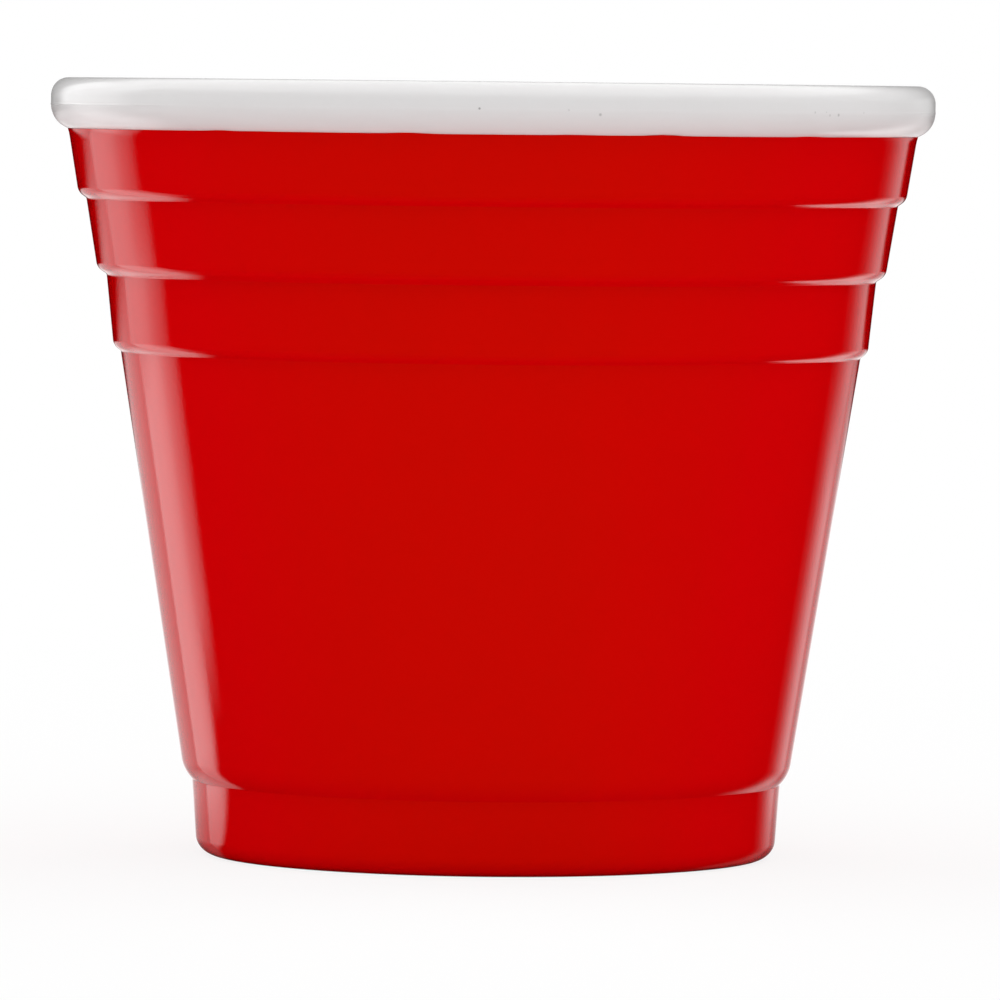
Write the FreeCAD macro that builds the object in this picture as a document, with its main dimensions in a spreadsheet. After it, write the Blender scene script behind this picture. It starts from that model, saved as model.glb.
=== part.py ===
import FreeCAD, Part
import math
import os

import Sketcher

# A small two-colour drinking cup for shots, moulded in two shots that stay bonded:
#   white_inner_cup  the white first shot: floor, inner wall and the thick bead round the mouth
#   red_outer_cup    the red second shot: stepped and tapered outer wall, shoulder and foot
# Frame: origin at the centre of the foot's underside, +Z up along the cup's axis.
# Both pieces are sections turned about Z, drawn in the XZ plane as radius and height.

# ---------------------------------------------------------------- driving sizes
# Lengths in millimetres, angles in degrees.
driving_sizes = {
    "rim_diameter": 60.0,       # over the bead, without the split line
    "overall_height": 52.6,
    # bead round the mouth
    "bead_height": 3.45,        # from the top down to the red wall
    "bead_overhang": 1.2,       # how far the bead stands out from the red wall
    "bead_round": 1.2,          # both edges of the lip
    "split_drop": 1.8,          # mould split line, below the top
    "split_width": 0.14,
    "split_proud": 0.05,
    # stepped wall, from the bead down: three bands, each ending in a sloping ledge
    "upper_band": 4.3,
    "middle_band": 4.7,
    "lower_band": 4.83,
    "upper_draft": 9.3,         # lean of each band and of the main wall from upright
    "middle_draft": 9.3,
    "lower_draft": 6.0,
    "wall_draft": 9.0,
    "upper_ledge": 0.55,        # how far each ledge steps in
    "middle_ledge": 0.65,
    "lower_ledge": 0.5,
    "ledge_slope": 35.0,        # underside of a ledge, from level
    "ledge_round": 0.8,         # lip of each ledge
    "inner_ledge_round": 1.0,   # same steps, felt inside the cup
    # shoulder and foot
    "shoulder_round": 2.4,
    "foot_height": 5.1,
    "foot_step": 0.5,           # how far the foot is set in from the wall
    "foot_draft": 4.3,
    "base_round": 1.3,
    # underside: a standing ring round a shallow recess, with the gate's stub in the middle
    "foot_ring": 3.2,           # from the foot's sharp corner to the recess
    "recess_depth": 0.8,
    "recess_draft": 25.0,
    "gate_diameter": 2.4,
    "gate_height": 0.35,
    # thickness of the two shots
    "shell_wall": 1.3,
    "liner_wall": 1.2,
    "shell_floor": 1.6,         # above the recess
    "liner_floor": 1.2,
    "floor_round": 6.0,         # corner where the two shots meet round the floor
}

doc = FreeCAD.newDocument("two_colour_shot_cup")
sheet = doc.addObject("Spreadsheet::Sheet", "cup")
for row, (alias, value) in enumerate(driving_sizes.items(), start=1):
    sheet.set(f"A{row}", alias)
    sheet.set(f"B{row}", str(value))
    sheet.setAlias(f"B{row}", alias)
doc.recompute()


def size(alias):
    return float(sheet.get(alias))


# ---------------------------------------------------------------- expressions used by both pieces
rim_radius = "cup.rim_diameter / 2"
wall_top_radius = "cup.rim_diameter / 2 - cup.bead_overhang"
wall_top_height = "cup.overall_height - cup.bead_height"
split_height = "cup.overall_height - cup.split_drop"
joint_floor = "cup.recess_depth + cup.shell_floor"
drink_floor = "cup.recess_depth + cup.shell_floor + cup.liner_floor"
full_wall = "cup.shell_wall + cup.liner_wall"
drink_floor_round = "cup.floor_round - cup.liner_wall"

# ---------------------------------------------------------------- sketch helpers
START, END = 1, 2                   # points of a line or arc
ORIGIN = (-1, 1)
LEVEL_AXIS, CUP_AXIS = -1, -2


def new_sketch(body, name):
    plane = next(item for item in body.Origin.OriginFeatures if item.Role == "XZ_Plane")
    sketch = body.newObject("Sketcher::SketchObject", name)
    sketch.AttachmentSupport = [(plane, "")]
    sketch.MapMode = "FlatFace"
    return sketch


def fix(sketch, kind, *places):
    sketch.addConstraint(Sketcher.Constraint(kind, *places))


def bind(sketch, kind, *places, to, guess=1.0):
    index = sketch.addConstraint(Sketcher.Constraint(kind, *places, guess))
    sketch.setExpression(f"Constraints[{index}]", to)


def add_line(sketch, start, end, construction=False):
    segment = Part.LineSegment(FreeCAD.Vector(*start, 0), FreeCAD.Vector(*end, 0))
    return sketch.addGeometry(segment, construction)


def add_arc(sketch, centre, radius, first, last):
    circle = Part.Circle(FreeCAD.Vector(*centre, 0), FreeCAD.Vector(0, 0, 1), radius)
    return sketch.addGeometry(Part.ArcOfCircle(circle, math.radians(first), math.radians(last)), False)


def add_chain(sketch, points, construction=False):
    # straight lines joined end to end
    lines = []
    for start, end in zip(points, points[1:]):
        line = add_line(sketch, start, end, construction)
        if lines:
            fix(sketch, "Coincident", lines[-1], END, line, START)
        lines.append(line)
    return lines


def hold_angle(sketch, line, expression, guess):
    bind(sketch, "Angle", line, to=expression, guess=math.radians(guess))


def hold_height(sketch, line, point, expression, guess):
    bind(sketch, "DistanceY", *ORIGIN, line, point, to=expression, guess=guess)


def hold_radius(sketch, line, point, expression, guess):
    bind(sketch, "DistanceX", *ORIGIN, line, point, to=expression, guess=guess)


# ---------------------------------------------------------------- the stepped wall
# Both faces of both pieces follow one outline, so it is drawn once and then offset inwards.
tiers = ("lower", "middle", "upper")


def outside_points():
    # corners of the outside, from the foot's height up to the bead
    radius = size("rim_diameter") / 2 - size("bead_overhang")
    height = size("overall_height") - size("bead_height")
    points = [(radius, height)]
    for tier in reversed(tiers):
        radius -= size(f"{tier}_band") * math.tan(math.radians(size(f"{tier}_draft")))
        height -= size(f"{tier}_band")
        points.append((radius, height))
        radius -= size(f"{tier}_ledge")
        height -= size(f"{tier}_ledge") * math.tan(math.radians(size("ledge_slope")))
        points.append((radius, height))
    lean = math.tan(math.radians(size("wall_draft")))
    points.append((radius - (height - size("foot_height")) * lean, size("foot_height")))
    return points[::-1]


def draw_outside(sketch, construction=False):
    # main wall, then a ledge and a band three times over
    lines = add_chain(sketch, outside_points(), construction)
    hold_angle(sketch, lines[0], "90 - cup.wall_draft", 90 - size("wall_draft"))
    for tier, ledge, wall in zip(tiers, lines[1::2], lines[2::2]):
        hold_angle(sketch, ledge, "cup.ledge_slope", size("ledge_slope"))
        bind(sketch, "DistanceX", ledge, START, ledge, END, to=f"cup.{tier}_ledge", guess=size(f"{tier}_ledge"))
        hold_angle(sketch, wall, f"90 - cup.{tier}_draft", 90 - size(f"{tier}_draft"))
        bind(sketch, "DistanceY", wall, START, wall, END, to=f"cup.{tier}_band", guess=size(f"{tier}_band"))
    top_radius, top_height = outside_points()[-1]
    hold_radius(sketch, lines[-1], END, wall_top_radius, top_radius)
    hold_height(sketch, lines[-1], END, wall_top_height, top_height)
    return lines


def inset_points(depth):
    # the outside's corners moved inwards to where the stretches on both sides are that deep
    points = [FreeCAD.Vector(radius, height, 0) for radius, height in outside_points()]
    runs = [(end - start).normalize() for start, end in zip(points, points[1:])]
    inwards = [FreeCAD.Vector(-run.y, run.x, 0) for run in runs]
    corners = []
    for point, before, after in zip(points, inwards[:1] + inwards, inwards + inwards[-1:]):
        corner = point + (before + after) * (depth / (1 + before.dot(after)))
        corners.append((corner.x, corner.y))
    return corners


def draw_offset(sketch, outside, thickness, depth):
    # the outside again, with every stretch moved inwards by that thickness
    lines = add_chain(sketch, inset_points(depth))
    for line, reference in zip(lines, outside):
        fix(sketch, "Parallel", line, reference)
        bind(sketch, "Distance", line, START, reference, to=thickness, guess=depth)
    return lines


def draw_floor(sketch, wall, height, radius, start_height, start_radius):
    # level floor from the axis, and the round corner that leads into the wall
    draft = size("wall_draft")
    foot_radius, foot_height = outside_points()[0]
    reach = foot_radius - size("shell_wall") - start_radius
    floor = add_line(sketch, (0, start_height), (reach, start_height))
    corner = add_arc(sketch, (reach, start_height + start_radius), start_radius, -90, -draft)
    hold_height(sketch, floor, START, height, start_height)
    fix(sketch, "PointOnObject", floor, START, CUP_AXIS)
    fix(sketch, "Horizontal", floor)
    fix(sketch, "Tangent", floor, END, corner, START)
    fix(sketch, "Tangent", corner, END, wall, START)
    bind(sketch, "Radius", corner, to=radius, guess=start_radius)
    return floor


def turn(body, sketch, name):
    turned = body.newObject("PartDesign::Revolution", name)
    turned.Profile = sketch
    turned.ReferenceAxis = (sketch, ["V_Axis"])
    turned.Angle = 360
    sketch.Visibility = False
    doc.recompute()
    return turned


def ring_edges(feature, sketch, corners):
    # the circular edges that the sketch's corners turn into
    names = []
    for line, point in corners:
        corner = sketch.getPoint(line, point)
        for number, edge in enumerate(feature.Shape.Edges, start=1):
            curve = edge.Curve
            if not isinstance(curve, Part.Circle):
                continue
            if abs(curve.Radius - corner.x) < 1e-4 and abs(curve.Center.z - corner.y) < 1e-4:
                names.append(f"Edge{number}")
    return names


def round_edges(body, feature, edges, radius, name):
    fillet = body.newObject("PartDesign::Fillet", name)
    fillet.Base = (feature, edges)
    fillet.setExpression("Radius", radius)
    doc.recompute()
    return fillet


# ---------------------------------------------------------------- red outer cup
def make_outer_cup():
    body = doc.addObject("PartDesign::Body", "red_outer_cup")
    body.Label = "red_outer_cup"
    section = new_sketch(body, "outer_section")

    outside = draw_outside(section)
    inside = draw_offset(section, outside, "cup.shell_wall", size("shell_wall"))
    top = add_line(section, (26, 49), (28, 49))
    fix(section, "Coincident", top, START, inside[-1], END)
    fix(section, "Coincident", top, END, outside[-1], END)
    fix(section, "Horizontal", top)

    # shoulder: an arc from the wall that stops short, so that it meets the foot in a crease
    draft = size("wall_draft")
    sweep = math.degrees(math.acos(1 - size("foot_step") / size("shoulder_round")))
    wall_radius, crease_height = outside_points()[0]
    crease_radius = wall_radius - size("foot_step") / math.cos(math.radians(draft))
    crease_angle = math.radians(-draft - sweep)
    centre = (crease_radius - size("shoulder_round") * math.cos(crease_angle),
              crease_height - size("shoulder_round") * math.sin(crease_angle))
    shoulder = add_arc(section, centre, size("shoulder_round"), -draft - sweep, -draft)
    fix(section, "Tangent", shoulder, END, outside[0], START)
    bind(section, "Radius", shoulder, to="cup.shoulder_round", guess=size("shoulder_round"))

    # foot: side, standing ring, recess and gate stub
    side_run = crease_height * math.tan(math.radians(size("foot_draft")))
    corner_radius = crease_radius - side_run
    recess_radius = corner_radius - size("foot_ring")
    roof_radius = recess_radius - size("recess_depth") * math.tan(math.radians(size("recess_draft")))
    stub_height = size("recess_depth") - size("gate_height")
    side = add_line(section, (corner_radius, 0), (crease_radius, crease_height))
    fix(section, "Coincident", side, END, shoulder, START)
    fix(section, "PointOnObject", side, START, LEVEL_AXIS)
    hold_angle(section, side, "90 - cup.foot_draft", 90 - size("foot_draft"))
    hold_height(section, side, END, "cup.foot_height", crease_height)
    bind(section, "Distance", side, END, outside[0], to="cup.foot_step", guess=size("foot_step"))

    ring, recess_side, roof, stub_side, stub_end = add_chain(section, [
        (corner_radius, 0), (recess_radius, 0), (roof_radius, size("recess_depth")),
        (size("gate_diameter") / 2, size("recess_depth")),
        (size("gate_diameter") / 2, stub_height), (0, stub_height)])
    fix(section, "Coincident", ring, START, side, START)
    fix(section, "Horizontal", ring)
    bind(section, "DistanceX", ring, END, ring, START, to="cup.foot_ring", guess=size("foot_ring"))
    hold_angle(section, recess_side, "90 + cup.recess_draft", 90 + size("recess_draft"))
    hold_height(section, recess_side, END, "cup.recess_depth", size("recess_depth"))
    fix(section, "Horizontal", roof)
    fix(section, "Vertical", stub_side)
    hold_radius(section, stub_side, START, "cup.gate_diameter / 2", size("gate_diameter") / 2)
    hold_height(section, stub_side, END, "cup.recess_depth - cup.gate_height", stub_height)
    fix(section, "Horizontal", stub_end)
    fix(section, "PointOnObject", stub_end, END, CUP_AXIS)

    floor_height = size("recess_depth") + size("shell_floor")
    floor = draw_floor(section, inside[0], joint_floor, "cup.floor_round", floor_height, size("floor_round"))
    axis = add_line(section, (0, stub_height), (0, floor_height))
    fix(section, "Coincident", axis, START, stub_end, END)
    fix(section, "Coincident", axis, END, floor, START)

    turned = turn(body, section, "outer_turned")
    lips = ring_edges(turned, section, [(ledge, END) for ledge in outside[1::2]])
    lipped = round_edges(body, turned, lips, "cup.ledge_round", "ledge_lips")
    base = ring_edges(lipped, section, [(side, START)])
    round_edges(body, lipped, base, "cup.base_round", "base_edge")
    return body, [section]


# ---------------------------------------------------------------- white inner cup
def make_inner_cup():
    body = doc.addObject("PartDesign::Body", "white_inner_cup")
    body.Label = "white_inner_cup"
    section = new_sketch(body, "inner_section")

    outside = draw_outside(section, construction=True)
    hold_height(section, outside[0], START, "cup.foot_height", size("foot_height"))
    joint = draw_offset(section, outside, "cup.shell_wall", size("shell_wall"))
    inside = draw_offset(section, outside, full_wall, size("shell_wall") + size("liner_wall"))

    joint_height = size("recess_depth") + size("shell_floor")
    drink_height = joint_height + size("liner_floor")
    lower = draw_floor(section, joint[0], joint_floor, "cup.floor_round", joint_height, size("floor_round"))
    upper = draw_floor(section, inside[0], drink_floor, drink_floor_round, drink_height,
                       size("floor_round") - size("liner_wall"))
    axis = add_line(section, (0, joint_height), (0, drink_height))
    fix(section, "Coincident", axis, START, lower, START)
    fix(section, "Coincident", axis, END, upper, START)

    # bead: its seat on the red wall, a round underside up to the split line, and an upright side
    radius = size("rim_diameter") / 2
    top = size("overall_height")
    seat_height = top - size("bead_height")
    seat_radius = radius - size("bead_overhang")
    rise = size("bead_height") - size("split_drop")
    under_radius = (size("bead_overhang") ** 2 + rise ** 2) / (2 * size("bead_overhang"))
    under_angle = math.degrees(math.asin(rise / under_radius))
    seat = add_line(section, (seat_radius - size("shell_wall"), seat_height), (seat_radius, seat_height))
    under = add_arc(section, (radius - under_radius, top - size("split_drop")), under_radius, -under_angle, 0)
    side, lip = add_chain(section, [(radius, top - size("split_drop")), (radius, top), (radius - 3, top)])
    fix(section, "Coincident", seat, START, joint[-1], END)
    fix(section, "Coincident", seat, END, outside[-1], END)
    fix(section, "Horizontal", seat)
    fix(section, "Coincident", under, START, seat, END)
    fix(section, "Tangent", under, END, side, START)
    fix(section, "Vertical", side)
    hold_radius(section, side, START, rim_radius, radius)
    hold_height(section, side, START, split_height, top - size("split_drop"))
    hold_height(section, side, END, "cup.overall_height", top)
    fix(section, "Horizontal", lip)
    fix(section, "Coincident", lip, END, inside[-1], END)

    turned = turn(body, section, "inner_turned")
    brim = ring_edges(turned, section, [(side, END), (lip, END)])
    brimmed = round_edges(body, turned, brim, "cup.bead_round", "lip_edges")
    steps = ring_edges(brimmed, section, [(ledge, START) for ledge in inside[1::2]])
    round_edges(body, brimmed, steps, "cup.inner_ledge_round", "inner_steps")

    # split line: the fine raised witness that the mould leaves round the bead's widest place
    witness = new_sketch(body, "split_line_section")
    half = size("split_width") / 2
    height = top - size("split_drop")
    root = radius - size("split_proud")
    crest = radius + size("split_proud")
    low, high, back = add_chain(witness, [
        (root, height - half), (crest, height), (root, height + half), (root, height - half)])
    fix(witness, "Coincident", back, END, low, START)
    fix(witness, "Vertical", back)
    hold_radius(witness, low, START, f"{rim_radius} - cup.split_proud", root)
    hold_radius(witness, low, END, f"{rim_radius} + cup.split_proud", crest)
    hold_height(witness, low, END, split_height, height)
    bind(witness, "DistanceY", low, START, low, END, to="cup.split_width / 2", guess=half)
    bind(witness, "DistanceY", high, START, high, END, to="cup.split_width / 2", guess=half)
    turn(body, witness, "split_line")
    return body, [section, witness]


# ---------------------------------------------------------------- build, test and write
outer_cup, outer_sketches = make_outer_cup()
inner_cup, inner_sketches = make_inner_cup()
doc.recompute()

for sketch in outer_sketches + inner_sketches:
    if not sketch.FullyConstrained:
        raise RuntimeError(f"{sketch.Name} isn't fully constrained")
for item in doc.Objects:
    if "Invalid" in item.State or "Error" in item.State:
        raise RuntimeError(f"{item.Name} didn't build: {item.State}")

os.makedirs("parts", exist_ok=True)
for body in (inner_cup, outer_cup):
    if body.Shape.isNull() or not body.Shape.isValid() or len(body.Shape.Solids) != 1:
        raise RuntimeError(f"{body.Label} isn't one valid solid")
    body.Shape.exportStep(f"parts/{body.Label}.step")
    box = body.Shape.BoundBox
    print(f"{body.Label}: {body.Shape.Volume / 1000:.2f} ml of plastic, top at {box.ZMax:.2f} mm")
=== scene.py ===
import math

import bmesh
import bpy
from mathutils import Matrix, Vector, noise


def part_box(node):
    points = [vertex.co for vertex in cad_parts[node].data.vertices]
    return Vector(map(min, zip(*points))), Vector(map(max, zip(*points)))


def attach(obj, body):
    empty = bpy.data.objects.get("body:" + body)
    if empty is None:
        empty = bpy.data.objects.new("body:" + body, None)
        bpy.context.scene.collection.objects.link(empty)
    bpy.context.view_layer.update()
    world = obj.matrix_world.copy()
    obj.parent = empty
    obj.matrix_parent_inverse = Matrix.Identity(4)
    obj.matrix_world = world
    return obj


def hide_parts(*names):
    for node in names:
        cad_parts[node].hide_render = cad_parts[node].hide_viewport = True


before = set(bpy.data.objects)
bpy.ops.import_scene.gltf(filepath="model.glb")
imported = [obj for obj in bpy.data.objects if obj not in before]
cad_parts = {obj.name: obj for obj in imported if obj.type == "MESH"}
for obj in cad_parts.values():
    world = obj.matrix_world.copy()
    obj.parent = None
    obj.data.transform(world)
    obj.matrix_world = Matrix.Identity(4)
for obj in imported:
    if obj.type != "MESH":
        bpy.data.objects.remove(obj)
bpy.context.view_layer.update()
print("frame loaded:", sorted(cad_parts))

mm = 0.001
sameHeight = 1e-3              # mm; heights closer than this count as one
onSurface = 0.01               # mm; a radius closer than this counts as on the surface
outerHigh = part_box("red_outer_cup")[1]
innerLow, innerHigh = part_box("white_inner_cup")

# Sizes of the cup in millimetres and degrees. The heights at both ends come from the frame.
cup = {
    "rimRadius": 30.0,
    "top": innerHigh.z / mm,
    "beadBottom": outerHigh.z / mm,
    "beadOverhang": 1.2,
    # from the bead down: height of the band, its lean, how far the ledge under it steps in
    "tiers": [(4.3, 9.3, 0.55), (4.7, 9.3, 0.65), (4.83, 6.0, 0.5)],
    "ledgeSlope": 35.0,
    "wallLean": 9.0,
    "shellWall": 1.3,
    "linerWall": 1.2,
    "jointFloor": innerLow.z / mm,
    "jointRound": 6.0,
    # the mesh: facets round the cup, degrees of a round that one facet takes and its fewest facets, longest
    # stretch between rings, angle from which an edge is drawn sharp
    "stepsAround": 240,
    "roundStep": 6.0,
    "roundFacets": 3,
    "longestStretch": 1.5,
    "sharpFrom": 24.0,
    # the seam between the two colours isn't quite true: how high it rises, in low waves and at a few places
    "seamRise": 0.01,
    "seamWaves": 0.02,
    "wavesPerMetre": 180,
    # degrees towards the left of the front, rise
    "seamPlaces": [(38.3, 0.055), (32.5, 0.025), (11.1, 0.055), (-10.3, 0.035), (-22.8, 0.075),
                   (-46.3, 0.045), (128, 0.07), (-140, 0.06)],
    "seamSpread": 2.4,         # degrees
}


def toLinear(hexColour):
    # sRGB hex to the linear values that shaders take
    parts = [int(hexColour[i:i + 2], 16) / 255 for i in (1, 3, 5)]
    return [c / 12.92 if c <= 0.04045 else ((c + 0.055) / 1.055) ** 2.4 for c in parts] + [1.0]


def wallCorners(footHeight):
    # outside of the wall from the bead down: band, ledge, three times over, then the main wall
    radius, height = cup["rimRadius"] - cup["beadOverhang"], cup["beadBottom"]
    corners = [Vector((radius, height))]
    for band, lean, step in cup["tiers"]:
        radius -= band * math.tan(math.radians(lean))
        height -= band
        corners.append(Vector((radius, height)))
        radius -= step
        height -= step * math.tan(math.radians(cup["ledgeSlope"]))
        corners.append(Vector((radius, height)))
    radius -= (height - footHeight) * math.tan(math.radians(cup["wallLean"]))
    return corners + [Vector((radius, footHeight))]


def setIn(corners, depth):
    # the same wall moved in by its thickness, mitred at each corner
    inward = []
    for a, b in zip(corners, corners[1:]):
        run = (b - a).normalized()
        inward.append(Vector((run.y, -run.x)))
    moved = []
    for corner, before, after in zip(corners, inward[:1] + inward, inward + inward[-1:]):
        moved.append(corner + (before + after) * depth / (1 + before.dot(after)))
    return moved


def reachHeight(a, b, height):
    # where the line from a to b, carried on, reaches that height
    return a + (b - a) * (height - a.y) / (b.y - a.y)


def around(degrees, distance, height):
    # a place by its angle round the cup, from the front towards the left
    angle = math.radians(degrees)
    return (-math.sin(angle) * distance, -math.cos(angle) * distance, height)


def sidewaysAngle(v):
    # degrees round the cup, from the front towards the left
    return math.degrees(math.atan2(-v.co.x, -v.co.y))


def drawSection(points):
    # points are (radius, height, round) in millimetres; each round is a bevel of that corner
    bm = bmesh.new()
    corners = [bm.verts.new((x * mm, 0, z * mm)) for x, z, r in points]
    for a, b in zip(corners, corners[1:] + corners[:1]):
        bm.edges.new((a, b))
    for corner, (x, z, r) in zip(corners, points):
        if r:
            before, after = [e.other_vert(corner).co - corner.co for e in corner.link_edges]
            half = before.angle(after) / 2
            turn = math.pi - 2 * half
            facets = max(cup["roundFacets"], round(turn / math.radians(cup["roundStep"])))
            bmesh.ops.bevel(bm, geom=[corner], offset=r * mm / math.tan(half), offset_type="OFFSET",
                            segments=facets, profile=0.5, affect="VERTICES", material=-1)
    return bm


def divideLong(bm):
    # cuts long straight stretches of the section, so that the wall can carry slight unevenness
    for edge in list(bm.edges):
        cuts = int(edge.calc_length() / (cup["longestStretch"] * mm))
        if cuts:
            bmesh.ops.subdivide_edges(bm, edges=[edge], cuts=cuts)


def turnSection(bm):
    # turns the section about the cup's axis and closes it
    bmesh.ops.spin(bm, geom=bm.verts[:] + bm.edges[:], cent=(0, 0, 0), axis=(0, 0, 1), dvec=(0, 0, 0),
                   angle=2 * math.pi, steps=cup["stepsAround"], space=Matrix(), use_merge=True,
                   use_normal_flip=False, use_duplicate=False)
    bmesh.ops.remove_doubles(bm, verts=bm.verts, dist=1e-7)
    bmesh.ops.recalc_face_normals(bm, faces=bm.faces)


def raiseSeat(bm, reach):
    # lifts the seam ring in both pieces by the same amount; the bead above it gives way over its reach
    seam = wallCorners(0)[0]
    slope = math.tan(math.radians(cup["tiers"][0][1]))
    for v in bm.verts:
        above = v.co.z / mm - seam.y
        radius = math.hypot(v.co.x, v.co.y) / mm
        outside = radius > seam.x - onSurface
        if above < -sameHeight or above > reach + sameHeight or (above > sameHeight and not outside):
            continue
        here = sidewaysAngle(v)
        waves = noise.noise(Vector((v.co.x, v.co.y, 0)) * cup["wavesPerMetre"] / (radius / seam.x))
        rise = cup["seamRise"] + cup["seamWaves"] * waves
        for where, most in cup["seamPlaces"]:
            rise += most * math.exp(-((here - where) / cup["seamSpread"]) ** 2)
        rise = max(rise, 0.0) * (1 - above / reach if reach else 1) ** 2
        v.co.z += rise * mm
        if above < sameHeight and outside:
            v.co.x *= 1 + rise * slope / radius
            v.co.y *= 1 + rise * slope / radius


def makePiece(bm, name, smooth=True):
    mesh = bpy.data.meshes.new(name)
    bm.to_mesh(mesh)
    bm.free()
    piece = bpy.data.objects.new(name, mesh)
    bpy.context.scene.collection.objects.link(piece)
    if smooth:
        mesh.shade_smooth()
        mesh.set_sharp_from_angle(angle=math.radians(cup["sharpFrom"]))
        even = piece.modifiers.new("evenShading", "WEIGHTED_NORMAL")  # flat stretches stay flat beside rounds
        even.mode = "FACE_AREA"
        even.weight = 100
        even.keep_sharp = True
    else:
        mesh.shade_flat()
    return piece


# The red outer cup
redCup = {
    "footHeight": 5.1,
    "footStep": 0.5,
    "footLean": 4.3,
    "baseRound": 1.3,
    "ringWidth": 3.2,
    "recessDepth": 0.8,
    "recessLean": 25.0,
    "recessRound": 0.25,
    "gateRadius": 1.2,
    "gateHeight": 0.35,
    "gateTaper": 0.1,
    "gateRound": 0.1,
    "ledgeLip": 0.8,          # rounds of the outside corners
    "ledgeCrease": 0.15,
    "shoulderRound": 2.4,
    "shoulderFacets": 6,
    "footCrease": 0.12,
    # the wall flares a little towards the bead: distance below it, how far out
    "flare": [(0, 0.05), (0.12, 0.028), (0.25, 0.012), (0.45, 0.003), (0.7, 0)],
}


def makeRedCup():
    size = redCup
    wall = wallCorners(size["footHeight"])
    joint = setIn(wall, cup["shellWall"])
    slope = math.tan(math.radians(cup["tiers"][0][1]))
    outside = [(wall[0].x - down * slope + out, wall[0].y - down, 0) for down, out in size["flare"]]
    for lip, crease in zip(wall[1:-1:2], wall[2:-1:2]):
        outside += [(lip.x, lip.y, size["ledgeLip"]), (crease.x, crease.y, size["ledgeCrease"])]

    # shoulder: an arc off the main wall, cut short where it meets the foot in a crease
    lean = math.radians(cup["wallLean"])
    sweep = math.acos(1 - size["footStep"] / size["shoulderRound"])
    creaseRadius = wall[-1].x - size["footStep"] / math.cos(lean)
    centreX = creaseRadius - size["shoulderRound"] * math.cos(lean + sweep)
    centreZ = size["footHeight"] + size["shoulderRound"] * math.sin(lean + sweep)
    facets = size["shoulderFacets"]
    for i in range(facets + 1):
        angle = lean + sweep * i / facets
        outside.append((centreX + size["shoulderRound"] * math.cos(angle),
                        centreZ - size["shoulderRound"] * math.sin(angle),
                        size["footCrease"] if i == facets else 0))

    cornerRadius = creaseRadius - size["footHeight"] * math.tan(math.radians(size["footLean"]))
    recessRadius = cornerRadius - size["ringWidth"]
    roofRadius = recessRadius - size["recessDepth"] * math.tan(math.radians(size["recessLean"]))
    stubHeight = size["recessDepth"] - size["gateHeight"]
    underside = [(cornerRadius, 0, size["baseRound"]), (recessRadius, 0, size["recessRound"]),
                 (roofRadius, size["recessDepth"], size["recessRound"]),
                 (size["gateRadius"], size["recessDepth"], size["gateRound"]),
                 (size["gateRadius"] - size["gateTaper"], stubHeight, size["gateRound"]), (0, stubHeight, 0)]

    floor = cup["jointFloor"]
    corner = reachHeight(joint[-2], joint[-1], floor)
    hidden = [(0, floor, 0), (corner.x, floor, cup["jointRound"])]
    hidden += [(p.x, p.y, 0) for p in reversed(joint[:-1])]
    bm = drawSection(outside + underside + hidden)
    divideLong(bm)
    turnSection(bm)
    raiseSeat(bm, 0)
    return makePiece(bm, "redCup")


redPiece = makeRedCup()
print("red cup:", len(redPiece.data.polygons), "faces")

# The white inner cup, whose bead is the rim
whiteCup = {
    "lipRound": 1.2,
    "undersideFacets": 12,
    "seatReach": 0.6,         # how far up the bead follows the seam's unevenness
    "innerLip": 1.0,          # steps of the wall, felt inside
    "innerCrease": 0.3,
    "floorThickness": 1.2,
    # the mould's split line: depth below the top, half its height, how far it stands out, how far past it the
    # bead stays straight, how far below it the arc of the underside ends
    "splitDrop": 1.8,
    "splitHalf": 0.07,
    "splitProud": 0.038,
    "splitMargin": 0.04,
    "splitClear": 0.06,
    # share of it that shows in front; more of it to the left and right: degrees at which that starts, over
    # how many it grows, how much; small beads along it: middle, swing, how many to a metre
    "splitFront": 0.18,
    "splitLeft": (38, 14, 0.82),
    "splitRight": (62, 12, 0.7),
    "splitBeads": (0.65, 0.9, 1300),
}


def growing(here, start, over, most):
    # nothing up to the start, then steadily more over so many degrees
    return most * max(0.0, min(1.0, (here - start) / over))


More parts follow.
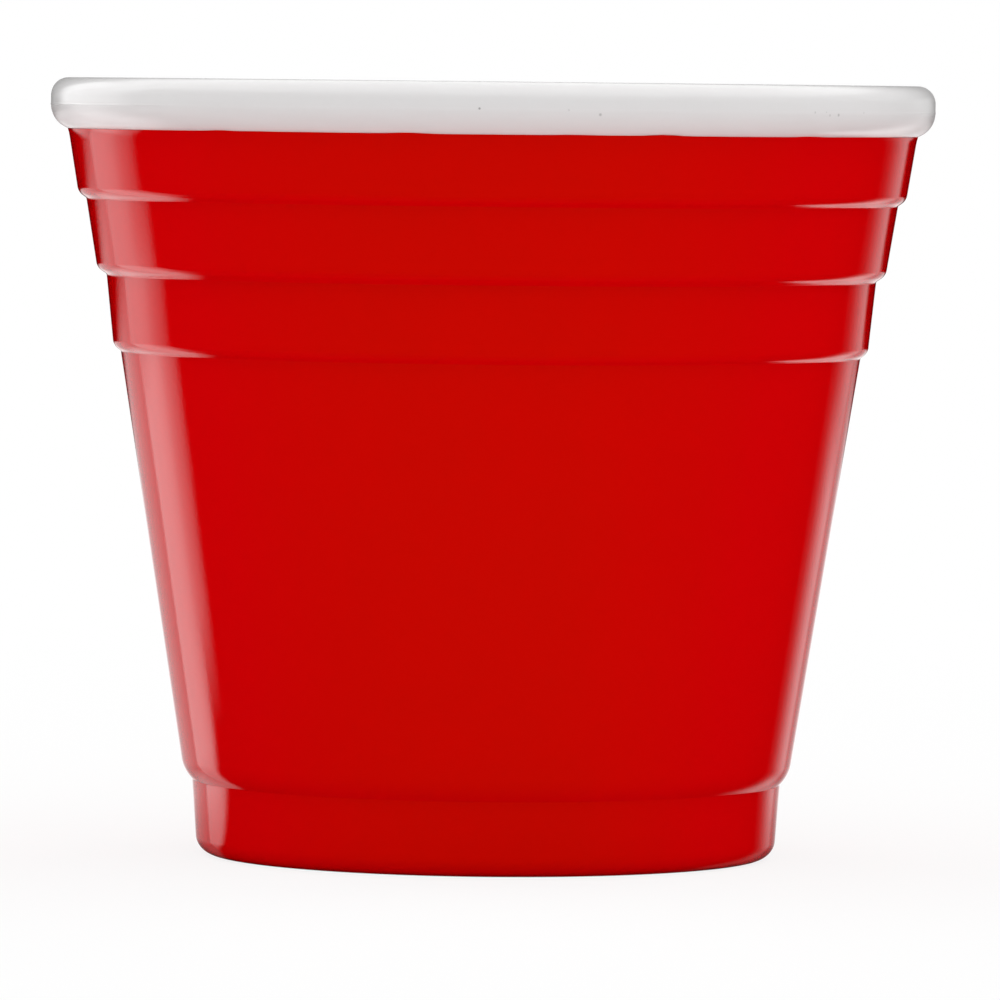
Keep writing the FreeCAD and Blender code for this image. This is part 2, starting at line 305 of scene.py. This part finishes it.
def makeWhiteCup():
    size = whiteCup
    wall = wallCorners(redCup["footHeight"])
    joint = setIn(wall, cup["shellWall"])
    inside = setIn(wall, cup["shellWall"] + cup["linerWall"])
    radius, top, seat = cup["rimRadius"], cup["top"], cup["beadBottom"]
    splitHeight = top - size["splitDrop"]

    jointCorner = reachHeight(joint[-2], joint[-1], cup["jointFloor"])
    hidden = [(0, cup["jointFloor"], 0), (jointCorner.x, cup["jointFloor"], cup["jointRound"])]
    hidden += [(p.x, p.y, 0) for p in reversed(joint[:-1])]

    # underside of the bead: one arc from the seat up to the split line
    rise = splitHeight - seat
    reach = cup["beadOverhang"]
    underRound = (reach ** 2 + rise ** 2) / (2 * reach)
    sweep = math.asin(rise / underRound)
    facets = size["undersideFacets"]
    bead = []
    for i in range(facets):
        angle = sweep * (1 - i / facets)
        bead.append((radius - underRound * (1 - math.cos(angle)),
                     splitHeight - underRound * math.sin(angle), 0))
    half = size["splitHalf"]
    bead = [p for p in bead if p[1] < splitHeight - half - size["splitClear"]]
    bead += [(radius, splitHeight - half - size["splitMargin"], 0), (radius, splitHeight - half, 0),
             (radius + size["splitProud"], splitHeight, 0), (radius, splitHeight + half, 0),
             (radius, splitHeight + half + size["splitMargin"], 0), (radius, top, size["lipRound"])]
    lip = reachHeight(inside[1], inside[0], top)
    bead.append((lip.x, top, size["lipRound"]))

    drink = []
    for crease, edge in zip(inside[1:-1:2], inside[2:-1:2]):
        drink += [(crease.x, crease.y, size["innerLip"]), (edge.x, edge.y, size["innerCrease"])]
    drinkFloor = cup["jointFloor"] + size["floorThickness"]
    drinkCorner = reachHeight(inside[-2], inside[-1], drinkFloor)
    drink += [(drinkCorner.x, drinkFloor, cup["jointRound"] - cup["linerWall"]), (0, drinkFloor, 0)]

    bm = drawSection(hidden + bead + drink)
    divideLong(bm)
    turnSection(bm)
    raiseSeat(bm, size["seatReach"])

    # the split line stands up in small beads on the left, fades out in front and comes back on the right
    middle, swing, beadsPerMetre = size["splitBeads"]
    for v in bm.verts:
        flat = math.hypot(v.co.x, v.co.y)
        if abs(v.co.z / mm - splitHeight) > sameHeight or flat < (radius + onSurface) * mm:
            continue
        here = sidewaysAngle(v)
        share = size["splitFront"] + growing(here, *size["splitLeft"]) + growing(-here, *size["splitRight"])
        share *= middle + swing * noise.noise(v.co * beadsPerMetre)
        wanted = (radius + size["splitProud"] * max(0.0, min(share, 1.0))) * mm
        v.co.x *= wanted / flat
        v.co.y *= wanted / flat
    return makePiece(bm, "whiteCup")


whitePiece = makeWhiteCup()
print("white cup:", len(whitePiece.data.polygons), "faces")


def newMaterial(name):
    material = bpy.data.materials.new(name)
    material.use_nodes = True
    material.node_tree.nodes.clear()
    return material


def addNode(tree, kind, settings=None, links=None):
    # settings: attributes and input values by name; links: input name or number -> output socket
    # a Mix node takes its share at 0 and its colours at 6 and 7, and gives the colour at 2
    node = tree.nodes.new(kind)
    for key, value in (settings or {}).items():
        if key in node.inputs.keys() or isinstance(key, int):
            node.inputs[key].default_value = value
        else:
            setattr(node, key, value)
    for key, socket in (links or {}).items():
        tree.links.new(socket, node.inputs[key])
    return node


# Injection-moulded polystyrene with a red masterbatch: deep even colour under a clear gloss. The mould's
# fine spark-eroded grain softens the edges of reflections.
redPlastic = {
    "colour": "#e10500",
    "streak": "#da0900",      # masterbatch isn't quite evenly mixed
    "aslant": "#e20004",      # seen aslant it is a little more crimson
    "aslantFrom": (0.05, 0.35),
    "streakSize": 7.0,        # mm
    "roughness": 0.05,
    "ior": 1.5,
    "grainSize": 0.30,        # mm; real grain is nearer 0.05, drawn coarser so that it shows
    "grainDepth": 0.004,
    "wavesSize": 9.0,         # mm; slow unevenness of a moulded wall
    "wavesDepth": 0.008,
}


def makeRedPlastic():
    look = redPlastic
    material = newMaterial("mouldedRedPolystyrene")
    tree = material.node_tree
    place = addNode(tree, "ShaderNodeTexCoord")
    grain = addNode(tree, "ShaderNodeTexNoise", {"Scale": 1 / (look["grainSize"] * mm), "Detail": 2.0},
                    {"Vector": place.outputs["Object"]})
    waves = addNode(tree, "ShaderNodeTexNoise", {"Scale": 1 / (look["wavesSize"] * mm), "Detail": 1.0},
                    {"Vector": place.outputs["Object"]})
    wavesBump = addNode(tree, "ShaderNodeBump", {"Strength": 1.0, "Distance": look["wavesDepth"] * mm},
                        {"Height": waves.outputs["Fac"]})
    grainBump = addNode(tree, "ShaderNodeBump", {"Strength": 1.0, "Distance": look["grainDepth"] * mm},
                        {"Height": grain.outputs["Fac"], "Normal": wavesBump.outputs["Normal"]})
    streaks = addNode(tree, "ShaderNodeTexNoise", {"Scale": 1 / (look["streakSize"] * mm), "Detail": 3.0},
                      {"Vector": place.outputs["Object"]})
    colour = addNode(tree, "ShaderNodeMix", {"data_type": "RGBA", 6: toLinear(look["colour"]),
                                             7: toLinear(look["streak"])}, {0: streaks.outputs["Fac"]})
    facing = addNode(tree, "ShaderNodeLayerWeight", {"Blend": 0.5})
    start, full = look["aslantFrom"]
    slant = addNode(tree, "ShaderNodeMapRange", {"From Min": start, "From Max": full},
                    {"Value": facing.outputs["Facing"]})
    colour = addNode(tree, "ShaderNodeMix", {"data_type": "RGBA", 7: toLinear(look["aslant"])},
                     {0: slant.outputs["Result"], 6: colour.outputs[2]})
    shader = addNode(tree, "ShaderNodeBsdfPrincipled", {"Roughness": look["roughness"], "IOR": look["ior"]},
                     {"Base Color": colour.outputs[2], "Normal": grainBump.outputs["Normal"]})
    addNode(tree, "ShaderNodeOutputMaterial", links={"Surface": shader.outputs["BSDF"]})
    return material


# The same plastic with white pigment: a softer sheen, a fine mould grain and a few specks of dust in it.
whitePlastic = {
    "colour": "#f3f2f2",
    "streak": "#efeded",
    "streakSize": 9.0,        # mm
    "roughness": 0.18,
    "ior": 1.48,
    "grainSize": 0.16,
    "grainDepth": 0.0014,
    "paintedBounce": "#ecd6d6",       # painted bounce light: the pink that red light off the red wall throws on the white next to it, on the outside
    "paintedBounceShare": 0.5,
    "paintedBounceReach": 2.2,        # mm above the seam
    "paintedBounceEdge": (0.6, 0.1),  # mm in from the red wall: where it starts, where it is full
    "speckColour": "#8d8a88",
    "speckCore": 0.4,         # share of a speck's radius that is as dark as it gets
    # degrees towards the left of the front, height above the table, radius, how dark
    "specks": [(1.7, 50.84, 0.10, 0.75), (-9.4, 50.80, 0.09, 0.2), (-13.4, 50.52, 0.13, 0.45),
               (-44.8, 50.80, 0.10, 0.25), (-46.9, 50.82, 0.08, 0.2), (-47.6, 50.62, 0.11, 0.25),
               (-49.3, 50.64, 0.13, 0.4), (-54.7, 50.80, 0.09, 0.2)],
}


def makeWhitePlastic():
    look = whitePlastic
    material = newMaterial("mouldedWhitePolystyrene")
    tree = material.node_tree
    place = addNode(tree, "ShaderNodeTexCoord")
    grain = addNode(tree, "ShaderNodeTexNoise", {"Scale": 1 / (look["grainSize"] * mm), "Detail": 2.0},
                    {"Vector": place.outputs["Object"]})
    grainBump = addNode(tree, "ShaderNodeBump", {"Strength": 1.0, "Distance": look["grainDepth"] * mm},
                        {"Height": grain.outputs["Fac"]})
    streaks = addNode(tree, "ShaderNodeTexNoise", {"Scale": 1 / (look["streakSize"] * mm), "Detail": 3.0},
                      {"Vector": place.outputs["Object"]})
    colour = addNode(tree, "ShaderNodeMix", {"data_type": "RGBA", 6: toLinear(look["colour"]),
                                             7: toLinear(look["streak"])}, {0: streaks.outputs["Fac"]})
    axes = addNode(tree, "ShaderNodeSeparateXYZ", links={0: place.outputs["Object"]})
    # painted bounce light: pink from the red wall, fullest at the seam, gone at its reach above it, only on
    # the outside
    nearSeam = addNode(tree, "ShaderNodeMapRange",
                       {"interpolation_type": "SMOOTHSTEP", "From Min": cup["beadBottom"] * mm,
                        "From Max": (cup["beadBottom"] + look["paintedBounceReach"]) * mm,
                        "To Min": look["paintedBounceShare"], "To Max": 0.0}, {"Value": axes.outputs["Z"]})
    level = addNode(tree, "ShaderNodeVectorMath", {"operation": "MULTIPLY", 1: (1, 1, 0)},
                    {0: place.outputs["Object"]})
    radius = addNode(tree, "ShaderNodeVectorMath", {"operation": "LENGTH"}, {0: level.outputs["Vector"]})
    start, full = (cup["rimRadius"] - cup["beadOverhang"] - depth for depth in look["paintedBounceEdge"])
    outside = addNode(tree, "ShaderNodeMapRange", {"From Min": start * mm, "From Max": full * mm},
                      {"Value": radius.outputs["Value"]})
    paintedBounce = addNode(tree, "ShaderNodeMath", {"operation": "MULTIPLY"},
                    {0: nearSeam.outputs["Result"], 1: outside.outputs["Result"]})
    colour = addNode(tree, "ShaderNodeMix", {"data_type": "RGBA", 7: toLinear(look["paintedBounce"])},
                     {0: paintedBounce.outputs[0], 6: colour.outputs[2]})
    for degrees, height, size, dark in look["specks"]:
        middle = Vector(around(degrees, cup["rimRadius"], height)) * mm
        spot = addNode(tree, "ShaderNodeVectorMath", {"operation": "DISTANCE", 1: middle},
                       {0: place.outputs["Object"]})
        share = addNode(tree, "ShaderNodeMapRange",
                        {"From Min": look["speckCore"] * size * mm, "From Max": size * mm,
                         "To Min": dark, "To Max": 0.0}, {"Value": spot.outputs["Value"]})
        colour = addNode(tree, "ShaderNodeMix", {"data_type": "RGBA", 7: toLinear(look["speckColour"])},
                         {0: share.outputs["Result"], 6: colour.outputs[2]})
    shader = addNode(tree, "ShaderNodeBsdfPrincipled", {"Roughness": look["roughness"], "IOR": look["ior"]},
                     {"Base Color": colour.outputs[2], "Normal": grainBump.outputs["Normal"]})
    addNode(tree, "ShaderNodeOutputMaterial", links={"Surface": shader.outputs["BSDF"]})
    return material


redPiece.data.materials.append(makeRedPlastic())
whitePiece.data.materials.append(makeWhitePlastic())
for piece, node, slot in ((redPiece, "red_outer_cup", "red_plastic"),
                          (whitePiece, "white_inner_cup", "white_plastic")):
    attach(piece, "root")
    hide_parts(node)
print("materials assigned")

# World, floor and lamps
studio = {
    "worldLevel": 0.27,
    "floorColour": "#eeeeee",
    "floorRadius": 6.0,
    "floorSides": 96,
    "floorLift": (0.84, 1.0),   # share of plain white in the view of the floor: at the cup, far off
    "liftReach": (0.03, 0.30),  # distances from the cup between which the one turns into the other
    # name, power, width and height, place, the point it faces, whether gloss shows it
    "lamps": [
        ("overhead", 14.7, (2.0, 2.0), (0, -0.35, 1.1), (0, -0.35, 0), False),
        ("leftSoftbox", 1.3, (0.62, 0.46), around(130, 0.8, 0.26), (0, 0, 0.05), True),
        ("rightSoftbox", 0.04, (0.3, 0.12), around(-149, 0.8, 0.09), (0, 0, 0.05), True),
        ("leftFill", 1.1, (0.8, 0.8), around(80, 1.2, 0.6), (0, 0, 0.03), False),
        ("rightFill", 1.75, (0.8, 0.8), around(-80, 1.2, 0.6), (0, 0, 0.03), False),
        ("leftRim", 1.6, (0.8, 0.8), around(135, 1.2, 0.6), (0, 0, 0.03), False),
        ("rightRim", 4.4, (0.8, 0.8), around(-135, 1.2, 0.6), (0, 0, 0.03), False),
        ("frontFill", 1.55, (1.0, 1.0), (0, -1.2, 0.9), (0, 0, 0.03), False),
    ],
}


def seenDirectly(tree):
    # 1 for the view itself and for what gloss and glass show, 0 for the light that falls on things
    path = addNode(tree, "ShaderNodeLightPath")
    seen = addNode(tree, "ShaderNodeMath", {"operation": "MAXIMUM"},
                   {0: path.outputs["Is Camera Ray"], 1: path.outputs["Is Glossy Ray"]})
    return addNode(tree, "ShaderNodeMath", {"operation": "MAXIMUM"},
                   {0: seen.outputs[0], 1: path.outputs["Is Transmission Ray"]})


def makeWorld():
    world = bpy.data.worlds.new("paleStudio")
    bpy.context.scene.world = world
    world.use_nodes = True
    tree = world.node_tree
    tree.nodes.clear()
    level = addNode(tree, "ShaderNodeMapRange", {"To Min": studio["worldLevel"], "To Max": 1.0},
                    {"Value": seenDirectly(tree).outputs[0]})
    back = addNode(tree, "ShaderNodeBackground", {"Color": (1, 1, 1, 1)}, {"Strength": level.outputs[0]})
    addNode(tree, "ShaderNodeOutputWorld", links={"Surface": back.outputs[0]})


def makeFloor():
    bm = bmesh.new()
    bmesh.ops.create_circle(bm, cap_ends=True, segments=studio["floorSides"], radius=studio["floorRadius"])
    floor = makePiece(bm, "floor", smooth=False)
    material = newMaterial("paleFloor")
    tree = material.node_tree
    place = addNode(tree, "ShaderNodeTexCoord")
    away = addNode(tree, "ShaderNodeVectorMath", {"operation": "LENGTH"}, {0: place.outputs["Object"]})
    start, end = studio["liftReach"]
    atCup, farOff = studio["floorLift"]
    share = addNode(tree, "ShaderNodeMapRange",
                    {"interpolation_type": "SMOOTHSTEP", "From Min": start, "From Max": end,
                     "To Min": atCup, "To Max": farOff}, {"Value": away.outputs["Value"]})
    lift = addNode(tree, "ShaderNodeMath", {"operation": "MULTIPLY"},
                   {0: share.outputs["Result"], 1: seenDirectly(tree).outputs[0]})
    plain = addNode(tree, "ShaderNodeBsdfDiffuse", {"Color": toLinear(studio["floorColour"])})
    glow = addNode(tree, "ShaderNodeEmission", {"Strength": 1.0})
    mixed = addNode(tree, "ShaderNodeMixShader",
                    links={0: lift.outputs[0], 1: plain.outputs[0], 2: glow.outputs[0]})
    addNode(tree, "ShaderNodeOutputMaterial", links={"Surface": mixed.outputs[0]})
    floor.data.materials.append(material)
    floor.visible_glossy = False  # the cards below are what the gloss sees of it


def addLamp(name, power, size, place, aim, glossy):
    lamp = bpy.data.lights.new(name, "AREA")
    lamp.shape = "RECTANGLE"
    lamp.size, lamp.size_y = size
    lamp.energy = power
    holder = bpy.data.objects.new(name, lamp)
    bpy.context.scene.collection.objects.link(holder)
    holder.location = place
    holder.rotation_euler = (Vector(aim) - Vector(place)).to_track_quat("-Z", "Y").to_euler()
    holder.visible_glossy = glossy
    holder.visible_camera = False


# What the gloss sees round the cup: dark in front, two bright cards behind it at the sides, and the pale
# table between them, which ends in the dark. The cards hang below the table, where a glossy table would show
# them upside down, and it lets them through. All of this shows in reflections only. Distances are in metres.
cards = {
    "outer": 3.0,
    "tableSides": 96,
    "aboveFloor": 0.00005,
    "wallSides": 192,
    "wallHeight": 1.8,
    "wallDepth": 4.0,
    "steepest": (36.0, 41.0),  # degrees down at which the cards end
    # degrees from the front towards the left (0 to 360), brightness
    "round": [(0, 0.0), (115, 0.0), (116, 0.42), (119.5, 0.85), (124, 1.2), (128, 1.6), (133, 1.62),
              (137, 1.45), (142.5, 1.3), (143.5, 0.55), (148, 0.6), (167, 0.62), (172, 1.0), (187, 1.05),
              (192, 0.66), (197, 0.45), (203, 0.4), (205.5, 0.8), (209, 0.8), (213, 0.6), (217, 0.33),
              (221, 0.1), (226, 0.0), (360, 0.0)],
    # between the side cards the table ends: share of it that counts, distances where it fades
    "back": [(0, 0.0), (142.5, 0.0), (143.5, 1.0), (203, 1.0), (206, 0.0), (360, 0.0)],
    "backEnds": (0.41, 0.625),
    "sidesEnd": (0.225, 0.27, 0.70),  # the side cards are dimmer far off: distance from, to, how much is left
    # steeply down, where only ledges and rounds look, there is more card further round
    "steep": [(0, 0.0), (140, 0.0), (145, 0.5), (213, 0.5), (220, 0.0), (360, 0.0)],
    "steepFrom": (13.0, 19.0),
    "underCup": (0.0188, 0.0225),  # dark under the cup
    "near": (0.02, 0.05, 0.5),     # close to the cup's foot the cards are dimmer: from, to, how much is left
    "beside": (0.03, 0.16, 0.0152, 0.0210),  # what is seen runs past the cup's side: distances, offsets
    # the left card's edge is cut back close to the cup: degrees, share let through; distance from, to
    "cutBack": [(0, 1.0), (90, 1.0), (91, 0.0), (119, 0.0), (122, 1.0), (360, 1.0)],
    "cutBackEnds": (0.055, 0.095),
}


def levelRound(tree, turned, stops):
    # a brightness that depends on the angle round the cup; a new ramp already has its first two stops
    brightest = max(level for degrees, level in stops)
    ramp = addNode(tree, "ShaderNodeValToRGB", links={0: turned})
    elements = ramp.color_ramp.elements
    for i, (degrees, level) in enumerate(stops):
        stop = elements[i] if i < 2 else elements.new(degrees / 360)
        stop.position = degrees / 360
        stop.color = [level / brightest] * 3 + [1.0]
    return addNode(tree, "ShaderNodeMath", {"operation": "MULTIPLY", 1: brightest},
                   {0: ramp.outputs["Color"]})


def turnedBy(tree, axes, shift=None):
    # share of a full turn from the front towards the left; the shift makes the angle larger on both sides
    flipX = addNode(tree, "ShaderNodeMath", {"operation": "MULTIPLY", 1: -1.0}, {0: axes.outputs["X"]})
    flipY = addNode(tree, "ShaderNodeMath", {"operation": "MULTIPLY", 1: -1.0}, {0: axes.outputs["Y"]})
    angle = addNode(tree, "ShaderNodeMath", {"operation": "ARCTAN2"},
                    {0: flipX.outputs[0], 1: flipY.outputs[0]})
    if shift:
        side = addNode(tree, "ShaderNodeMath", {"operation": "SIGN"}, {0: angle.outputs[0]})
        size = addNode(tree, "ShaderNodeMath", {"operation": "ABSOLUTE"}, {0: angle.outputs[0]})
        size = addNode(tree, "ShaderNodeMath", {"operation": "ADD"},
                       {0: size.outputs[0], 1: shift.outputs[0]})
        size = addNode(tree, "ShaderNodeMath", {"operation": "MINIMUM", 1: math.pi}, {0: size.outputs[0]})
        angle = addNode(tree, "ShaderNodeMath", {"operation": "MULTIPLY"},
                        {0: size.outputs[0], 1: side.outputs[0]})
    turned = addNode(tree, "ShaderNodeMath", {"operation": "DIVIDE", 1: 2 * math.pi}, {0: angle.outputs[0]})
    return addNode(tree, "ShaderNodeMath", {"operation": "FRACT"}, {0: turned.outputs[0]})


def makeTableCards():
    # the table as the gloss sees it: how much of the cards below comes through at each place
    bm = bmesh.new()
    bmesh.ops.create_circle(bm, cap_ends=True, segments=cards["tableSides"], radius=cards["outer"])
    bmesh.ops.translate(bm, vec=(0, 0, cards["aboveFloor"]), verts=bm.verts)
    ring = makePiece(bm, "tableCards", smooth=False)

    material = newMaterial("tableCards")
    tree = material.node_tree
    place = addNode(tree, "ShaderNodeTexCoord")
    axes = addNode(tree, "ShaderNodeSeparateXYZ", links={0: place.outputs["Object"]})
    away = addNode(tree, "ShaderNodeVectorMath", {"operation": "LENGTH"}, {0: place.outputs["Object"]})
    start, end, nearOffset, farOffset = cards["beside"]
    offset = addNode(tree, "ShaderNodeMapRange",
                     {"From Min": start, "From Max": end, "To Min": nearOffset, "To Max": farOffset},
                     {"Value": away.outputs["Value"]})
    shift = addNode(tree, "ShaderNodeMath", {"operation": "DIVIDE"},
                    {0: offset.outputs["Result"], 1: away.outputs["Value"]})
    shift = addNode(tree, "ShaderNodeMath", {"operation": "ARCSINE"}, {0: shift.outputs[0]})
    turned = turnedBy(tree, axes, shift)
    start, end = cards["backEnds"]
    fade = addNode(tree, "ShaderNodeMapRange",
                   {"interpolation_type": "SMOOTHSTEP", "From Min": start, "From Max": end,
                    "To Min": 1.0, "To Max": 0.0}, {"Value": away.outputs["Value"]})
    start, end, left = cards["sidesEnd"]
    far = addNode(tree, "ShaderNodeMapRange",
                  {"From Min": start, "From Max": end, "To Min": 1.0, "To Max": left},
                  {"Value": away.outputs["Value"]})
    back = levelRound(tree, turned.outputs[0], cards["back"])
    through = addNode(tree, "ShaderNodeMix", {"data_type": "FLOAT"},
                      {0: back.outputs[0], 2: far.outputs["Result"], 3: fade.outputs["Result"]})
    start, end, left = cards["near"]
    near = addNode(tree, "ShaderNodeMapRange",
                   {"From Min": start, "From Max": end, "To Min": left, "To Max": 1.0},
                   {"Value": away.outputs["Value"]})
    start, end = cards["underCup"]
    clear = addNode(tree, "ShaderNodeMapRange", {"From Min": start, "From Max": end},
                    {"Value": away.outputs["Value"]})
    start, end = cards["cutBackEnds"]
    past = addNode(tree, "ShaderNodeMapRange", {"From Min": start, "From Max": end},
                   {"Value": away.outputs["Value"]})
    cut = levelRound(tree, turned.outputs[0], cards["cutBack"])
    cut = addNode(tree, "ShaderNodeMath", {"operation": "MAXIMUM"},
                  {0: cut.outputs[0], 1: past.outputs["Result"]})
    share = through.outputs[0]
    for other in (near.outputs["Result"], clear.outputs["Result"], cut.outputs[0]):
        share = addNode(tree, "ShaderNodeMath", {"operation": "MULTIPLY"}, {0: share, 1: other}).outputs[0]
    clearPart = addNode(tree, "ShaderNodeBsdfTransparent", links={"Color": share})
    addNode(tree, "ShaderNodeOutputMaterial", links={"Surface": clearPart.outputs[0]})
    ring.data.materials.append(material)
    return ring


def makeFarCards():
    # a dark wall all round, far off, with the hanging cards on its lower part, closed below
    bm = bmesh.new()
    bmesh.ops.create_cone(bm, cap_ends=False, segments=cards["wallSides"], radius1=cards["outer"],
                          radius2=cards["outer"], depth=cards["wallHeight"] + cards["wallDepth"])
    bmesh.ops.translate(bm, vec=(0, 0, (cards["wallHeight"] - cards["wallDepth"]) / 2), verts=bm.verts)
    lowest = [e for e in bm.edges if all(v.co.z < 0 for v in e.verts)]
    bmesh.ops.contextual_create(bm, geom=lowest)
    wall = makePiece(bm, "farCards", smooth=False)

    material = newMaterial("farCards")
    tree = material.node_tree
    place = addNode(tree, "ShaderNodeTexCoord")
    axes = addNode(tree, "ShaderNodeSeparateXYZ", links={0: place.outputs["Object"]})
    turned = turnedBy(tree, axes)
    level = levelRound(tree, turned.outputs[0], cards["round"])
    top, bottom = (-cards["outer"] * math.tan(math.radians(d)) for d in cards["steepest"])
    deep = addNode(tree, "ShaderNodeMapRange", {"From Min": bottom, "From Max": top},
                   {"Value": axes.outputs["Z"]})
    below = addNode(tree, "ShaderNodeMath", {"operation": "LESS_THAN", 1: 0.0}, {0: axes.outputs["Z"]})
    steep = levelRound(tree, turned.outputs[0], cards["steep"])
    start, end = (-cards["outer"] * math.tan(math.radians(d)) for d in cards["steepFrom"])
    share = addNode(tree, "ShaderNodeMapRange", {"From Min": start, "From Max": end},
                    {"Value": axes.outputs["Z"]})
    level = addNode(tree, "ShaderNodeMath", {"operation": "MULTIPLY_ADD"},
                    {0: steep.outputs[0], 1: share.outputs["Result"], 2: level.outputs[0]})
    for other in (deep.outputs["Result"], below.outputs[0]):
        level = addNode(tree, "ShaderNodeMath", {"operation": "MULTIPLY"}, {0: level.outputs[0], 1: other})
    glow = addNode(tree, "ShaderNodeEmission", {"Color": (1, 1, 1, 1)}, {"Strength": level.outputs[0]})
    addNode(tree, "ShaderNodeOutputMaterial", links={"Surface": glow.outputs[0]})
    wall.data.materials.append(material)
    return wall


def onlyInReflections(thing):
    thing.visible_camera = False
    thing.visible_diffuse = False
    thing.visible_transmission = False
    thing.visible_volume_scatter = False
    thing.visible_shadow = False


makeWorld()
makeFloor()
onlyInReflections(makeTableCards())
onlyInReflections(makeFarCards())
for lamp in studio["lamps"]:
    addLamp(*lamp)
print("studio ready")


view = {
    "place": (0.0, -0.6383, 0.05209),
    "turn": 0.067,            # degrees to the right
    "dip": 2.503,             # degrees down
    "roll": 0.623,
    "lens": 338.13,
    "sensor": 36.0,
    "clip": (0.01, 50),
}


def makeCamera():
    turn, dip, roll = (math.radians(view[k]) for k in ("turn", "dip", "roll"))
    ahead = Vector((math.sin(turn) * math.cos(dip), math.cos(turn) * math.cos(dip), -math.sin(dip)))
    right = Vector((math.cos(turn), -math.sin(turn), 0))
    up = right.cross(ahead)
    tiltedRight = math.cos(roll) * right + math.sin(roll) * up
    tiltedUp = -math.sin(roll) * right + math.cos(roll) * up
    camera = bpy.data.objects.new("camera", bpy.data.cameras.new("camera"))
    bpy.context.scene.collection.objects.link(camera)
    camera.data.lens = view["lens"]
    camera.data.sensor_width = view["sensor"]
    camera.data.clip_start, camera.data.clip_end = view["clip"]
    camera.matrix_world = Matrix((tiltedRight, tiltedUp, -ahead)).transposed().to_4x4()
    camera.location = view["place"]
    bpy.context.scene.camera = camera


makeCamera()
bpy.context.scene.view_settings.view_transform = "Standard"
print("camera set")
